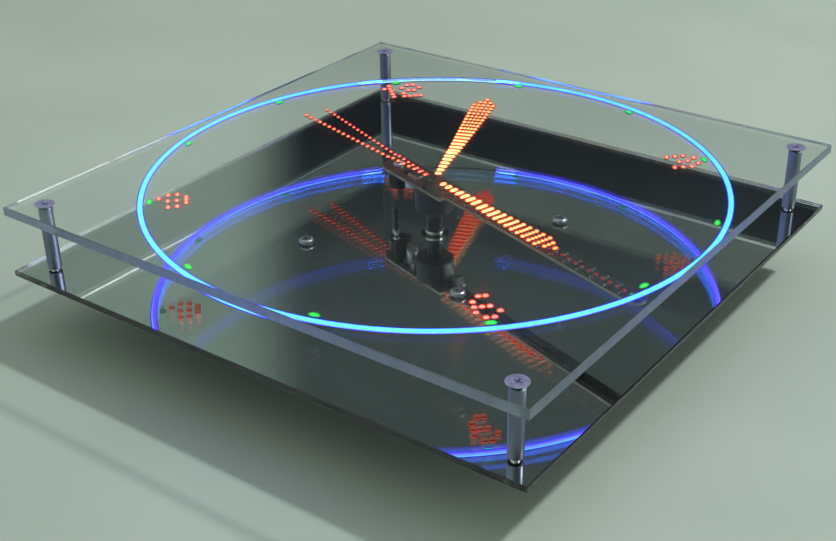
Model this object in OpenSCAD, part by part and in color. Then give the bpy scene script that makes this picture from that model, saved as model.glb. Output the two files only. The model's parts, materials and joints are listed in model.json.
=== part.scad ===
// Propeller clock: a bar of lamps spins between a dark base plate and a clear cover plate.
// Origin on the table under the spindle, Z up, plate sides along X and Y, millimetres.

/* [Plates] */
// Side of the square base and cover plates
plate_side = 300; // [280:1:400]
// Thickness of the dark base plate
base_t = 3; // [2.5:0.5:6]
// Thickness of the clear cover plate
cover_t = 5; // [4.5:0.5:10]
// Bevel along the plate edges
plate_bevel = 0.5; // [0.2:0.1:1]

/* [Posts] */
// Length of the posts between the plates
post_len = 30; // [28:1:60]
// Diameter of the posts
post_d = 7; // [6:0.5:14]
// Distance from a plate edge to a post axis
post_inset = 14; // [8:1:20]
// Chamfer on the post ends
post_chamfer = 0.4; // [0.2:0.1:0.8]
// Thread diameter of the screws in the posts
post_screw_d = 4; // [3:0.5:5]
// Length of thread in each post end
post_grip = 9; // [6:1:12]
// Diameter of the flat screw heads in the cover plate
cover_head_d = 10; // [8:0.5:12]
// Height of the straight rim of a flat screw head
cover_head_rim = 0.3; // [0.1:0.1:0.5]

/* [Housing] */
// Outer side of the square housing under the base plate
housing_w = 108; // [104:1:140]
// Wall thickness of the housing
housing_wall = 3; // [2:0.5:4]
// Diameter of the screw bosses in the housing
boss_d = 10; // [9:0.5:12]
// Depth of a boss in the housing wall
boss_sink = 1; // [0.5:0.1:1.5]
// Thread diameter of the screws that hold the housing to the base plate
housing_screw_d = 4; // [3:0.5:5]
// Length of thread in a housing boss
boss_grip = 9; // [6:1:10]
// Thickness of the bottom lid
lid_t = 2.5; // [2:0.5:5]
// Thread diameter of the lid screws
lid_screw_d = 3; // [2.5:0.5:3.5]
// Room between the motor terminals and the lid
lid_room = 0.5; // [0.5:0.1:6]
// Diameter of the rubber feet
foot_d = 14; // [10:1:18]
// Height of the rubber feet
foot_h = 2.5; // [2.5:0.5:8]
// Chamfer round the underside of the rubber feet
foot_chamfer = 0.8; // [0.3:0.1:1.5]

/* [Motor] */
// Diameter of the motor can
motor_d = 32; // [28:1:36]
// Length of the motor can
motor_len = 13; // [12:1:30]
// Wall thickness of the motor can
can_wall = 1; // [0.8:0.1:1.5]
// Diameter of the motor shaft
shaft_d = 2; // [1.5:0.1:3]
// Outer diameter of the motor bearing
bearing_d = 6; // [5:0.5:7]
// Height of the bearing above the motor can
bearing_rise = 2; // [1:0.5:2]
// Length of the bearing inside the motor can
bearing_tail = 1; // [0.5:0.1:1.5]
// Thickness of the motor magnets
magnet_t = 3; // [2:0.5:4]
// Angle that a motor magnet spans
magnet_arc = 130; // [90:5:160]
// Room above and below the motor magnets
magnet_room = 2; // [1.8:0.1:3]
// Air gap between the magnets and the armature
air_gap = 0.5; // [0.3:0.1:1]
// Width of an armature pole
pole_w = 3; // [2:0.5:4]
// Thickness of an armature pole shoe
shoe_t = 2.5; // [1.5:0.5:3]
// Thickness of the motor's end cap
end_cap_t = 2; // [1.5:0.5:3]
// Depth of the end cap's spigot in the motor can
end_cap_plug = 1; // [0.5:0.1:1.5]
// Gap between the end cap and the commutator
commutator_gap = 0.3; // [0.2:0.1:0.5]
// Length of the motor terminals
terminal_len = 1.9; // [1.8:0.1:4]
// Width of the motor terminals
terminal_w = 2.8; // [2:0.1:4]
// Thickness of the motor terminals
terminal_t = 0.6; // [0.4:0.1:1]
// Distance from the side of the motor can to a terminal
terminal_inset = 6; // [4:0.5:8]
// Thickness of the plate that carries the motor
motor_plate_t = 2; // [2:0.5:4]
// Width of the plate that carries the motor
motor_plate_w = 40; // [36:1:44]
// Gap between the ends of that plate and the housing
motor_plate_gap = 0.5; // [0.2:0.1:1]
// Thread diameter of the screws in that plate
motor_screw_d = 2.5; // [2:0.5:3]
// Distance from the side of the motor can to a motor screw
motor_screw_inset = 6; // [5:0.5:7]
// Length of motor screw past the wall of the can
motor_screw_tip = 0.6; // [0.2:0.1:1]

/* [Spindle] */
// Diameter of the spindle
spindle_d = 8; // [6:0.5:10]
// Bore of the spindle, for the rotor leads
spindle_bore = 4; // [3:0.5:4.5]
// Length of shaft held in the spindle
shaft_grip = 11; // [8:1:12]
// Wall thickness of the bush in the base plate
bush_wall = 1; // [0.8:0.1:2]
// Height of the bush above the base plate
bush_rise = 1.4; // [1:0.2:4]
// Width of the bush flange under the base plate
bush_lip = 2; // [1:0.5:2.5]
// Thickness of the bush flange
bush_flange_t = 1.5; // [1:0.5:3]
// Wall thickness of the slip rings
ring_wall = 2; // [1:0.5:3]
// Width of a slip ring
ring_w = 2.8; // [2.8:0.1:5]
// Gap between the slip rings
ring_gap = 1.5; // [1:0.5:4]
// Gap under the spindle, and from its end to the lower slip ring
ring_foot = 1; // [0.5:0.1:2]
// Gap between the upper slip ring and the bush
ring_head = 1; // [0.8:0.1:2]

/* [Brushes] */
// Thickness of a brush leaf
brush_t = 0.4; // [0.3:0.1:0.6]
// Width of a brush leaf
brush_w = 2.4; // [1.5:0.1:2.6]
// Gap between a brush leaf and its slip ring
brush_gap = 0.3; // [0.2:0.05:0.5]
// Length of brush leaf behind the holder
brush_tail = 1.5; // [1:0.1:3]
// Distance from the slip rings to the brush holder
holder_gap = 4; // [3.5:0.1:6]
// Length of the brush holder
holder_l = 9; // [7:0.5:10]
// Wall of the brush holder beside a leaf
holder_wall = 3; // [1.5:0.1:5]
// Height of the brush holder above the upper slip ring
holder_roof = 0.6; // [0.4:0.1:0.8]
// Thread diameter of the brush holder screws
holder_screw_d = 2; // [1.6:0.2:2.4]

/* [Lamp bar] */
// Angle of the lamp bar at rest, from X
bar_angle = 342; // [0:1:360]
// Thickness of the rotor board
board_t = 1.6; // [1:0.2:2.4]
// Rim of board beside the board screws
board_rim = 0.5; // [0.2:0.1:3]
// Width of the lamp arm
arm_w = 9; // [8:0.5:12]
// Radius of the innermost lamp
lamp_first = 7.5; // [6:0.5:9]
// Distance from lamp to lamp
lamp_pitch = 4.5; // [4:0.1:4.8]
// Number of red lamps
red_count = 30; // [20:1:31]
// Length of arm past the outermost lamp
arm_tip = 2.5; // [2:0.5:6]
// Size of a lamp across the arm
lamp_w = 2; // [1.2:0.1:2.4]
// Size of a lamp along the arm
lamp_l = 1.4; // [1.3:0.1:2.4]
// Height of a lamp body
lamp_body_h = 0.6; // [0.4:0.1:1]
// Diameter of a lamp lens
lens_d = 1.2; // [0.6:0.1:1.2]
// Height of a lamp lens
lens_h = 0.4; // [0.2:0.1:0.8]
// Gap between the lamps and the cover plate
lamp_gap = 2.8; // [2.5:0.1:6]
// Wall of the rotor hub round the spindle
hub_wall = 6; // [5:0.5:9]
// Height of the rotor hub
hub_h = 12; // [8:0.5:14]
// Chamfer round the underside of the hub
hub_chamfer = 0.6; // [0.2:0.1:1.5]
// Depth of the spindle in the hub
hub_grip = 6.5; // [5:0.5:7]
// Thread diameter of the screws that hold the board
board_screw_d = 2; // [1.6:0.1:2.4]
// Length of thread in the hub
board_grip = 4; // [3:0.5:5]
// Thread diameter of the set screw in the hub
set_screw_d = 3; // [2:0.5:4]
// Depth of the set screw below the face of the hub
set_screw_sink = 0.5; // [0.2:0.1:1]
// Depth of the hexagon in the set screw
set_screw_recess = 1; // [0.5:0.1:1.5]
// Diameter of the counterweight
weight_d = 12; // [8:1:14]
// Height of the counterweight
weight_h = 10; // [6:1:14]
// Thread diameter of the counterweight screw
weight_screw_d = 3; // [2:0.5:3.5]
// Depth of the counterweight screw's end in the weight
weight_screw_sink = 1; // [0.5:0.1:3]

/* [Index pin] */
// Distance from the spindle axis to the index pin
index_r = 20; // [18:1:26]
// Angle of the index pin, from X
index_angle = 220; // [200:1:340]
// Thread diameter of the index pin
index_d = 1.6; // [1.6:0.2:3]
// Gap between the index pin and the sensor that passes over it
sensor_gap = 1.6; // [0.5:0.1:3]
// Length, width and height of the sensor under the arm
sensor_size = [3, 4, 9]; // [2:0.5:12]

/* [Rotor electronics] */
// Size of a lamp resistor along the arm, across it and in height
resistor_size = [0.8, 1.6, 0.5]; // [0.3:0.1:1.8]
// Number of lamp drivers
driver_count = 4; // [1:1:5]
// Size of a lamp driver's body along the arm, across it and in height
driver_size = [9.9, 3.9, 1.5]; // [1:0.1:12]
// Width of a lamp driver over its legs
driver_span = 6; // [5:0.1:7]
// Distance from the sensor to the first lamp driver
driver_lead_in = 16; // [10:1:24]
// Side of the microcontroller's body
micro_w = 7; // [5:0.5:8]
// Width of the microcontroller over its legs
micro_span = 9; // [8.5:0.5:10]
// Height of the microcontroller
micro_h = 1.1; // [0.8:0.1:1.6]
// Height of a chip's legs
leg_h = 0.5; // [0.2:0.1:0.6]
// Gap between a flat chip's body and the board
chip_lift = 0.1; // [0.05:0.05:0.2]
// Size of the voltage regulator along the bar, across it and in height
regulator_size = [3.5, 6.5, 1.6]; // [1:0.1:8]
// Size of the crystal along the bar, across it and in height
crystal_size = [4.6, 11, 3.5]; // [2:0.1:14]
// Diameter of the rotor's capacitor
rotor_can_d = 6.3; // [4:0.1:8]
// Height of the rotor's capacitor
rotor_can_h = 7; // [4:0.5:8]
// Height of the capacitor's square foot
rotor_can_foot = 1; // [0.5:0.1:1.5]
// Diameter of the leads in the spindle
rotor_lead_d = 1.2; // [0.6:0.1:1.3]

/* [Control board] */
// Thickness of the control board
control_t = 1.6; // [1:0.2:2.4]
// Height of the control board above the lid
control_rise = 4; // [3:0.5:8]
// Distance from the motor to the control board
control_gap = 5; // [3:0.5:8]
// Distance from the edges of the control board to its screws
control_inset = 4; // [3.5:0.5:6]
// Thread diameter of the control board screws
control_screw_d = 2.5; // [2:0.5:3]
// Wall of the lid's bosses under the control board
control_boss_wall = 1.75; // [1:0.25:3]
// Diameter of the leads
lead_d = 1.4; // [1:0.1:1.6]
// Distance from the edge of the control board to the leads
lead_inset = 5; // [2:0.5:6]
// Width of the power inlet
inlet_w = 9; // [8.5:0.5:12]
// Height of the power inlet
inlet_h = 11; // [10.5:0.5:13]
// Depth of the power inlet behind the housing wall
inlet_l = 13; // [10:1:16]
// Height of the plug's axis above the control board
inlet_axis = 6; // [5:0.5:6]
// Diameter of the plug opening
inlet_bore = 5.5; // [4:0.5:5.5]
// Wall round the plug opening
inlet_wall = 1.25; // [0.75:0.25:1.5]
// Thickness behind the plug opening
inlet_back = 3; // [1:0.5:5]
// Diameter of the contact pin in the plug opening
inlet_pin_d = 2; // [1:0.1:2.5]
// Diameter of the filter capacitor
capacitor_d = 10; // [6:1:12]
// Height of the filter capacitor
capacitor_h = 16; // [8:1:18]
// Depth of the groove and edges of the filter capacitor
capacitor_groove = 0.5; // [0.2:0.1:1]
// Size of the transistor's body
transistor_size = [10, 4.5, 9]; // [3:0.5:12]
// Height of the transistor's tab above its body
tab_h = 6; // [5:0.5:8]
// Thickness of the transistor's tab
tab_t = 1.3; // [0.8:0.1:2]
// Diameter of the hole in the tab
tab_hole_d = 3.6; // [2:0.1:4]
// Length of the transistor's legs
leg_len = 3; // [2:0.5:5]
// Size of a transistor or chip leg across the row and along it
leg_size = [0.8, 0.5]; // [0.3:0.1:1]
// Distance from leg to leg
leg_pitch = 2.54; // [2:0.01:2.54]
// Size of the control chip's body
chip_size = [9.8, 6.4, 3.3]; // [3:0.1:12]
// Height of the control chip above the board
chip_stand = 0.5; // [0.2:0.1:1]

/* [Fits] */
// Clearance per side where a piece seats in another
fit = 0.05; // [0.02:0.01:0.1]
// Clearance per side where a shaft turns
run = 0.05; // [0.02:0.01:0.1]
// Depth of a threaded hole past the end of its screw
run_out = 1; // [0.2:0.1:2]
// Gap between neighbouring parts on a board
part_gap = 1.5; // [0.8:0.1:2]

/* [Hidden] */
$fn = 48;

// Heads, recesses and nuts follow the thread, as screw standards do
function pan_d(d) = 1.9 * d;
function pan_h(d) = 0.45 * d;
function nut_w(d) = 2 * d;
function nut_h(d) = 0.8 * d;
function recess_l(d) = d;
function recess_w(d) = 0.22 * d;
function recess_h(d) = 0.3 * d;
function point_l(d) = 0.1 * d;

// Overrun of a cut, and a length past every piece
eps = 0.1;
through = 4 * (plate_side + post_len);

// Heights above the table
ring_room = 2 * ring_foot + 2 * ring_w + ring_gap + ring_head + bush_flange_t;
housing_h = ring_room + motor_plate_t + motor_len + terminal_len + lid_room;
z_lid = foot_h;
z_box = z_lid + lid_t;
z_base = z_box + housing_h;
z_deck = z_base + base_t;
z_cover = z_deck + post_len;
z_top = z_cover + cover_t;
z_plate_top = z_base - ring_room;
z_can_top = z_plate_top - motor_plate_t;
z_can = z_can_top - motor_len;
z_spindle = z_plate_top + ring_foot;
z_shaft_top = z_spindle + shaft_grip;
z_rings = [z_spindle + ring_foot, z_spindle + ring_foot + ring_w + ring_gap];
z_board_top = z_cover - lamp_gap - lens_h - lamp_body_h;
z_board = z_board_top - board_t;
z_hub = z_board - hub_h;
z_spindle_top = z_hub + hub_grip;
z_control = z_box + control_rise;
z_control_top = z_control + control_t;
index_rise = z_board - z_deck - sensor_size[2] - sensor_gap;

// Places in plan
corners = [[1, -1], [1, 1], [-1, 1], [-1, -1]];
post_at = plate_side / 2 - post_inset;
inner = housing_w / 2 - housing_wall;
boss_at = inner - boss_d / 2 + boss_sink;
foot_at = boss_at - ((foot_d + pan_d(lid_screw_d)) / 2 + part_gap) * cos(45);
bush_d = spindle_d + 2 * run + 2 * bush_wall;
index_xy = [index_r * cos(index_angle), index_r * sin(index_angle)];
cone_h = (cover_head_d - post_screw_d) / 2;

// Motor
can_r = motor_d / 2 - can_wall;
magnet_z = z_can + end_cap_t + magnet_room;
magnet_h = z_can_top - can_wall - magnet_room - magnet_z;
magnet_r = can_r - fit;
armature_r = magnet_r - magnet_t - air_gap;
armature_z = magnet_z + magnet_room / 2;
armature_h = magnet_h - magnet_room;
motor_screw_r = motor_d / 2 - motor_screw_inset;
terminal_r = motor_d / 2 - terminal_inset;

// Brushes
ring_r = spindle_d / 2 + ring_wall;
brush_in = ring_r + brush_gap;
brush_mid = brush_in + brush_t / 2;
holder_y = ring_r + holder_gap;
holder_half = brush_in + brush_t + holder_wall;
holder_top = z_rings[1] + ring_w + holder_roof;
holder_screw_x = brush_in / 2;
brush_end = holder_y + holder_l + brush_tail;

// Control board, between the motor and the housing wall
control_y0 = motor_d / 2 + control_gap;
control_y1 = inner - part_gap;
control_half = boss_at - boss_d / 2 - part_gap;
lead_y = control_y0 + lead_inset;
side_x = control_half / 2 + part_gap;
inlet_nose_d = inlet_bore + 2 * inlet_wall;

// Lamp bar, along X before it is turned to its rest angle
hub_d = spindle_d + 2 * hub_wall;
board_screw_r = spindle_d / 2 + board_screw_d;
board_w = 2 * (board_screw_r + pan_d(board_screw_d) / 2 + board_rim);
ring_lamp_r = lamp_first + (red_count + 1) * lamp_pitch;
arm_end = ring_lamp_r + arm_tip;
arm_start = index_r - arm_w / 2;
resistor_y = (arm_w + lamp_w) / 4;
driver_first = index_r + driver_lead_in;
driver_step = (ring_lamp_r - driver_first) / (driver_count + 0.5);
crystal_at = hub_d / 2 + part_gap + crystal_size[0] / 2;
rotor_can_at = crystal_at + crystal_size[0] / 2 + part_gap + rotor_can_d / 2;
weight_at = rotor_can_at + rotor_can_d / 2 + part_gap + weight_d / 2;
micro_at = board_screw_r + pan_d(board_screw_d) / 2 + part_gap + micro_span / 2;
regulator_at = micro_at + micro_span / 2 + part_gap / 2 + regulator_size[0] / 2;

// Shared shapes

// Round cut through everything on its axis
module hole(d) {
    translate([0, 0, -through / 2]) cylinder(d = d, h = through);
}

// Box centred in plan, standing on z = 0
module block(size) {
    translate([-size[0] / 2, -size[1] / 2, 0]) cube(size);
}

// Square sheet with bevelled edges
module sheet(side, t) {
    core = side - 2 * plate_bevel;
    hull() {
        translate([0, 0, plate_bevel]) block([side, side, t - 2 * plate_bevel]);
        block([core, core, t]);
    }
}

// Cross cut in a screw head whose top is at z = 0
module cross_recess(d) {
    for (a = [0, 90]) {
        rotate(a) translate([0, 0, -recess_h(d)]) block([recess_l(d), recess_w(d), d]);
    }
}

// Screw with a domed head on z = 0 and its shank below
module pan_screw(d, len) {
    r = pan_d(d) / 2;
    h = pan_h(d);
    flat = 0.55;
    rim = 0.35;
    difference() {
        rotate_extrude() polygon([
            [0, -len], [d / 2 - point_l(d), -len], [d / 2, -len + point_l(d)], [d / 2, 0], [r, 0],
            for (a = [0:18:72]) [r * (flat + (1 - flat) * cos(a)), h * (rim + (1 - rim) * sin(a))],
            [0, h]
        ]);
        translate([0, 0, h]) cross_recess(d);
    }
}

// Screw with a flat countersunk head whose top is at z = 0
module flat_screw(d, len) {
    difference() {
        rotate_extrude() polygon([
            [0, -len], [d / 2 - point_l(d), -len], [d / 2, -len + point_l(d)],
            [d / 2, -cone_h - cover_head_rim], [cover_head_d / 2, -cover_head_rim],
            [cover_head_d / 2, 0], [0, 0]
        ]);
        cross_recess(d);
    }
}

// Round rod from point to point
module rod(a, b, d) {
    v = b - a;
    translate(a) rotate([0, acos(v[2] / norm(v)), atan2(v[1], v[0])]) cylinder(d = d, h = norm(v));
}

// Insulated lead through a list of points
module lead(points) {
    for (i = [0:len(points) - 2]) rod(points[i], points[i + 1], lead_d);
    for (i = [1:1:len(points) - 2]) translate(points[i]) sphere(d = lead_d);
}

// Flat chip with a row of legs on two sides, its board side at z = 0
module leg_chip(size, span, legs) {
    pitch = size[0] / legs;
    reach = (span - size[1]) / 2 + eps;
    translate([0, 0, chip_lift]) block([size[0], size[1], size[2] - chip_lift]);
    for (i = [0:legs - 1]) {
        for (s = [-1, 1]) {
            translate([(i + 0.5) * pitch - size[0] / 2, s * (span - reach) / 2, 0])
                block([pitch / 3, reach, leg_h]);
        }
    }
}

// Copies at the four corners of a square
module at_corners(half) {
    for (c = corners) translate([c[0] * half, c[1] * half, 0]) children();
}

// Copies on both sides of the spindle axis, along X
module at_sides(x) {
    for (s = [-1, 1]) translate([s * x, 0, 0]) children();
}

// Copies at the brush holder's screws
module at_holder_screws() {
    translate([0, holder_y + holder_l / 2, 0]) at_sides(holder_screw_x) children();
}

// Copies at the corners of the control board
module at_control_screws() {
    for (y = [control_y0 + control_inset, control_y1 - control_inset]) {
        translate([0, y, 0]) at_sides(control_half - control_inset) children();
    }
}

// Copies at the screws that hold the rotor board, away from the lamps
module at_board_screws() {
    for (a = [90, 180, 270]) rotate(a) translate([board_screw_r, 0, 0]) children();
}

// Turns a rotor piece to its angle at rest
module on_bar() {
    rotate(bar_angle) children();
}

// Plates

module base_plate() {
    color("#23272b") difference() {
        translate([0, 0, z_base]) sheet(plate_side, base_t);
        at_corners(post_at) hole(post_screw_d + 2 * fit);
        at_corners(boss_at) hole(housing_screw_d + 2 * fit);
        hole(bush_d + 2 * fit);
        translate(index_xy) hole(index_d + 2 * fit);
    }
}

module cover_plate() {
    color("#dfe9ec", 0.35) difference() {
        translate([0, 0, z_cover]) sheet(plate_side, cover_t);
        at_corners(post_at) {
            hole(post_screw_d + 2 * fit);
            translate([0, 0, z_top - cover_head_rim - cone_h])
                cylinder(d1 = post_screw_d + 2 * fit, d2 = cover_head_d + 2 * fit, h = cone_h);
            translate([0, 0, z_top - cover_head_rim])
                cylinder(d = cover_head_d + 2 * fit, h = cover_head_rim + eps);
        }
    }
}

// Posts and their screws

module post(c) {
    r = post_d / 2;
    bore = post_screw_d + 2 * fit;
    depth = post_grip + run_out;
    color("#b9bec4") translate([c[0] * post_at, c[1] * post_at, z_deck]) difference() {
        rotate_extrude() polygon([
            [0, 0], [r - post_chamfer, 0], [r, post_chamfer], [r, post_len - post_chamfer],
            [r - post_chamfer, post_len], [0, post_len]
        ]);
        translate([0, 0, -eps]) cylinder(d = bore, h = depth + eps);
        translate([0, 0, post_len - depth]) cylinder(d = bore, h = depth + eps);
    }
}

module cover_screws() {
    color("#aab0b8") at_corners(post_at) translate([0, 0, z_top])
        flat_screw(post_screw_d, cover_t + post_grip);
}

module post_screws() {
    color("#aab0b8") at_corners(post_at) translate([0, 0, z_base]) mirror([0, 0, 1])
        pan_screw(post_screw_d, base_t + post_grip);
}

// Housing

module housing() {
    depth = boss_grip + run_out;
    color("#2b2e31") difference() {
        union() {
            difference() {
                translate([0, 0, z_box]) block([housing_w, housing_w, housing_h]);
                translate([0, 0, z_box - eps]) block([2 * inner, 2 * inner, housing_h + 2 * eps]);
            }
            at_corners(boss_at) translate([0, 0, z_box]) cylinder(d = boss_d, h = housing_h);
            at_sides(boss_at) translate([0, 0, z_box]) cylinder(d = boss_d, h = z_can_top - z_box);
        }
        at_corners(boss_at) {
            translate([0, 0, z_box - eps]) cylinder(d = lid_screw_d + 2 * fit, h = depth + eps);
            translate([0, 0, z_base - depth]) cylinder(d = housing_screw_d + 2 * fit, h = depth + eps);
        }
        at_sides(boss_at) translate([0, 0, z_can_top - depth])
            cylinder(d = motor_screw_d + 2 * fit, h = depth + eps);
        translate([-side_x, inner - eps, z_control_top + inlet_axis]) rotate([-90, 0, 0])
            cylinder(d = inlet_nose_d + 2 * fit, h = housing_wall + 2 * eps);
    }
}

module housing_screws() {
    color("#c3c7cc") at_corners(boss_at) translate([0, 0, z_deck])
        pan_screw(housing_screw_d, base_t + boss_grip);
}

module bottom_lid() {
    depth = control_rise + lid_t / 2;
    color("#2b2e31") difference() {
        union() {
            translate([0, 0, z_lid]) block([housing_w, housing_w, lid_t]);
            at_control_screws() translate([0, 0, z_lid])
                cylinder(d = control_screw_d + 2 * control_boss_wall, h = lid_t + control_rise);
        }
        at_corners(boss_at) hole(lid_screw_d + 2 * fit);
        at_control_screws() translate([0, 0, z_control - depth])
            cylinder(d = control_screw_d + 2 * fit, h = depth + eps);
    }
}

module lid_screws() {
    color("#aab0b8") at_corners(boss_at) translate([0, 0, z_lid]) mirror([0, 0, 1])
        pan_screw(lid_screw_d, lid_t + boss_grip);
}

module foot(c) {
    r = foot_d / 2;
    color("#1b1c1d") translate([c[0] * foot_at, c[1] * foot_at, 0]) rotate_extrude() polygon([
        [0, 0], [r - foot_chamfer, 0], [r, foot_chamfer], [r, foot_h], [0, foot_h]
    ]);
}

// Bush and index pin in the base plate

module spindle_bush() {
    color("#d5d2c8") difference() {
        translate([0, 0, z_base]) union() {
            cylinder(d = bush_d, h = base_t + bush_rise);
            translate([0, 0, -bush_flange_t]) cylinder(d = bush_d + 2 * bush_lip, h = bush_flange_t);
        }
        hole(spindle_d + 2 * run);
    }
}

module index_pin() {
    color("#8f949a") translate([index_xy[0], index_xy[1], z_base]) mirror([0, 0, 1])
        pan_screw(index_d, base_t + index_rise);
}

module index_nut() {
    color("#d0d3d6") translate([index_xy[0], index_xy[1], z_deck]) difference() {
        cylinder(d = nut_w(index_d) / cos(30), h = nut_h(index_d), $fn = 6);
        hole(index_d + 2 * fit);
    }
}

// Motor and the plate that carries it

module motor_plate() {
    color("#9aa0a6") difference() {
        translate([0, 0, z_can_top])
            block([2 * (inner - motor_plate_gap), motor_plate_w, motor_plate_t]);
        hole(bearing_d + 2 * fit);
        at_sides(boss_at) hole(motor_screw_d + 2 * fit);
        at_sides(motor_screw_r) hole(motor_screw_d + 2 * fit);
        at_holder_screws() hole(holder_screw_d + 2 * fit);
    }
}

module motor_plate_screws() {
    color("#aab0b8") at_sides(boss_at) translate([0, 0, z_plate_top])
        pan_screw(motor_screw_d, motor_plate_t + boss_grip);
}

module motor_screws() {
    color("#aab0b8") at_sides(motor_screw_r) translate([0, 0, z_plate_top])
        pan_screw(motor_screw_d, motor_plate_t + can_wall + motor_screw_tip);
}

module motor_can() {
    color("#a7adb3") difference() {
        translate([0, 0, z_can + end_cap_t]) cylinder(d = motor_d, h = motor_len - end_cap_t);
        translate([0, 0, z_can]) cylinder(r = can_r, h = motor_len - can_wall);
        hole(bearing_d + 2 * fit);
        at_sides(motor_screw_r) hole(motor_screw_d + 2 * fit);
    }
}

module motor_bearing() {
    tail = can_wall + bearing_tail;
    color("#b08d57") difference() {
        translate([0, 0, z_can_top - tail]) cylinder(d = bearing_d, h = tail + bearing_rise);
        hole(shaft_d + 2 * run);
    }
}

module motor_magnets() {
    color("#3a3c40") for (a = [0, 180]) {
        translate([0, 0, magnet_z]) rotate(a - magnet_arc / 2) rotate_extrude(angle = magnet_arc)
            translate([magnet_r - magnet_t, 0]) square([magnet_t, magnet_h]);
    }
}

module motor_end_cap() {
    color("#e4e2da") translate([0, 0, z_can]) difference() {
        union() {
            cylinder(d = motor_d, h = end_cap_t);
            cylinder(r = can_r - fit, h = end_cap_t + end_cap_plug);
        }
        translate([0, 0, end_cap_t / 2]) cylinder(d = shaft_d + 2 * run, h = end_cap_t + end_cap_plug);
    }
}

module motor_terminals() {
    color("#c9a24b") at_sides(terminal_r) translate([0, 0, z_can - terminal_len])
        block([terminal_w, terminal_t, terminal_len]);
}

module motor_shaft() {
    z_low = z_can + end_cap_t / 2 + run;
    color("#cfd3d7") translate([0, 0, z_low]) cylinder(d = shaft_d, h = z_shaft_top - z_low);
}

module motor_armature() {
    core_r = bearing_d / 2 + shoe_t / 2;
    shoe_w = armature_r * 1.25;
    color("#6f5a45") on_bar() translate([0, 0, armature_z]) difference() {
        union() {
            cylinder(r = core_r, h = armature_h);
            for (a = [0, 120, 240]) rotate(a) {
                translate([0, -pole_w / 2, 0]) cube([armature_r - shoe_t / 2, pole_w, armature_h]);
                intersection() {
                    difference() {
                        cylinder(r = armature_r, h = armature_h);
                        hole(2 * (armature_r - shoe_t));
                    }
                    translate([0, -shoe_w / 2, 0]) cube([armature_r, shoe_w, armature_h]);
                }
            }
        }
        hole(shaft_d + 2 * fit);
    }
}

module motor_commutator() {
    z_low = z_can + end_cap_t + end_cap_plug + commutator_gap;
    color("#b87333") translate([0, 0, z_low]) difference() {
        cylinder(d = bearing_d, h = armature_z - z_low);
        hole(shaft_d + 2 * fit);
    }
}

// Slip rings and brushes

// One leaf beside its slip ring, or the slot for it, wider by grow all round
module brush_leaf(i, grow) {
    s = i == 0 ? 1 : -1;
    t = brush_t + 2 * grow;
    w = brush_w + 2 * grow;
    translate([s * brush_mid - t / 2, -ring_r, z_rings[i] + (ring_w - w) / 2])
        cube([t, brush_end + ring_r, w]);
}

module brush_holder() {
    color("#5b3a22") difference() {
        translate([-holder_half, holder_y, z_plate_top])
            cube([2 * holder_half, holder_l, holder_top - z_plate_top]);
        for (i = [0, 1]) brush_leaf(i, fit);
        at_holder_screws() hole(holder_screw_d + 2 * fit);
    }
}

module brush_holder_screws() {
    color("#aab0b8") at_holder_screws() translate([0, 0, holder_top])
        pan_screw(holder_screw_d, holder_top - z_can_top);
}

module brushes() {
    color("#c78d4e") for (i = [0, 1]) brush_leaf(i, 0);
}

module slip_rings() {
    color("#c9a24b") for (z = z_rings) translate([0, 0, z]) difference() {
        cylinder(r = ring_r, h = ring_w);
        hole(spindle_d + 2 * fit);
    }
}

// Control board and what stands on it

module control_board() {
    color("#1f5a34") difference() {
        translate([-control_half, control_y0, z_control])
            cube([2 * control_half, control_y1 - control_y0, control_t]);
        at_control_screws() hole(control_screw_d + 2 * fit);
    }
}

module control_board_screws() {
    color("#aab0b8") at_control_screws() translate([0, 0, z_control_top])
        pan_screw(control_screw_d, control_t + control_rise);
}

module drive_transistor() {
    w = transistor_size[0];
    t = transistor_size[1];
    z_tab = leg_len + transistor_size[2];
    color("#2a2a2c") translate([0, control_y1 - part_gap - t / 2, z_control_top]) difference() {
        union() {
            translate([0, 0, leg_len]) block(transistor_size);
            translate([0, (t - tab_t) / 2, z_tab]) block([w, tab_t, tab_h]);
            for (i = [-1, 0, 1]) translate([i * leg_pitch, 0, 0])
                block([leg_size[0], leg_size[1], leg_len + eps]);
        }
        translate([0, 0, z_tab + tab_h / 2]) rotate([90, 0, 0]) hole(tab_hole_d);
    }
}

module control_chip() {
    y = control_y0 + part_gap + (chip_size[1] + leg_size[1]) / 2;
    leg_top = chip_stand + chip_size[2] / 2;
    color("#242528") translate([side_x, y, z_control_top]) {
        translate([0, 0, chip_stand]) block(chip_size);
        for (i = [-1.5:1.5]) {
            for (s = [-1, 1]) translate([i * leg_pitch, s * chip_size[1] / 2, 0])
                block([leg_size[0], leg_size[1], leg_top]);
        }
    }
}

module filter_capacitor() {
    r = capacitor_d / 2;
    g = capacitor_groove;
    color("#22304d") translate([side_x, control_y1 - part_gap - r, z_control_top]) rotate_extrude() polygon([
        [0, 0], [r, 0], [r, 2 * g], [r - g, 3 * g], [r, 4 * g],
        [r, capacitor_h - g], [r - g, capacitor_h], [0, capacitor_h]
    ]);
}

module power_inlet() {
    depth = housing_wall + inlet_l - inlet_back;
    color("#1c1d1f") translate([-side_x, inner, z_control_top]) difference() {
        union() {
            translate([-inlet_w / 2, -inlet_l, 0]) cube([inlet_w, inlet_l, inlet_h]);
            translate([0, -eps, inlet_axis]) rotate([-90, 0, 0])
                cylinder(d = inlet_nose_d, h = housing_wall + eps);
        }
        translate([0, housing_wall - depth, inlet_axis]) rotate([-90, 0, 0]) difference() {
            cylinder(d = inlet_bore, h = depth + eps);
            cylinder(d = inlet_pin_d, h = depth - housing_wall);
        }
    }
}

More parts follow.
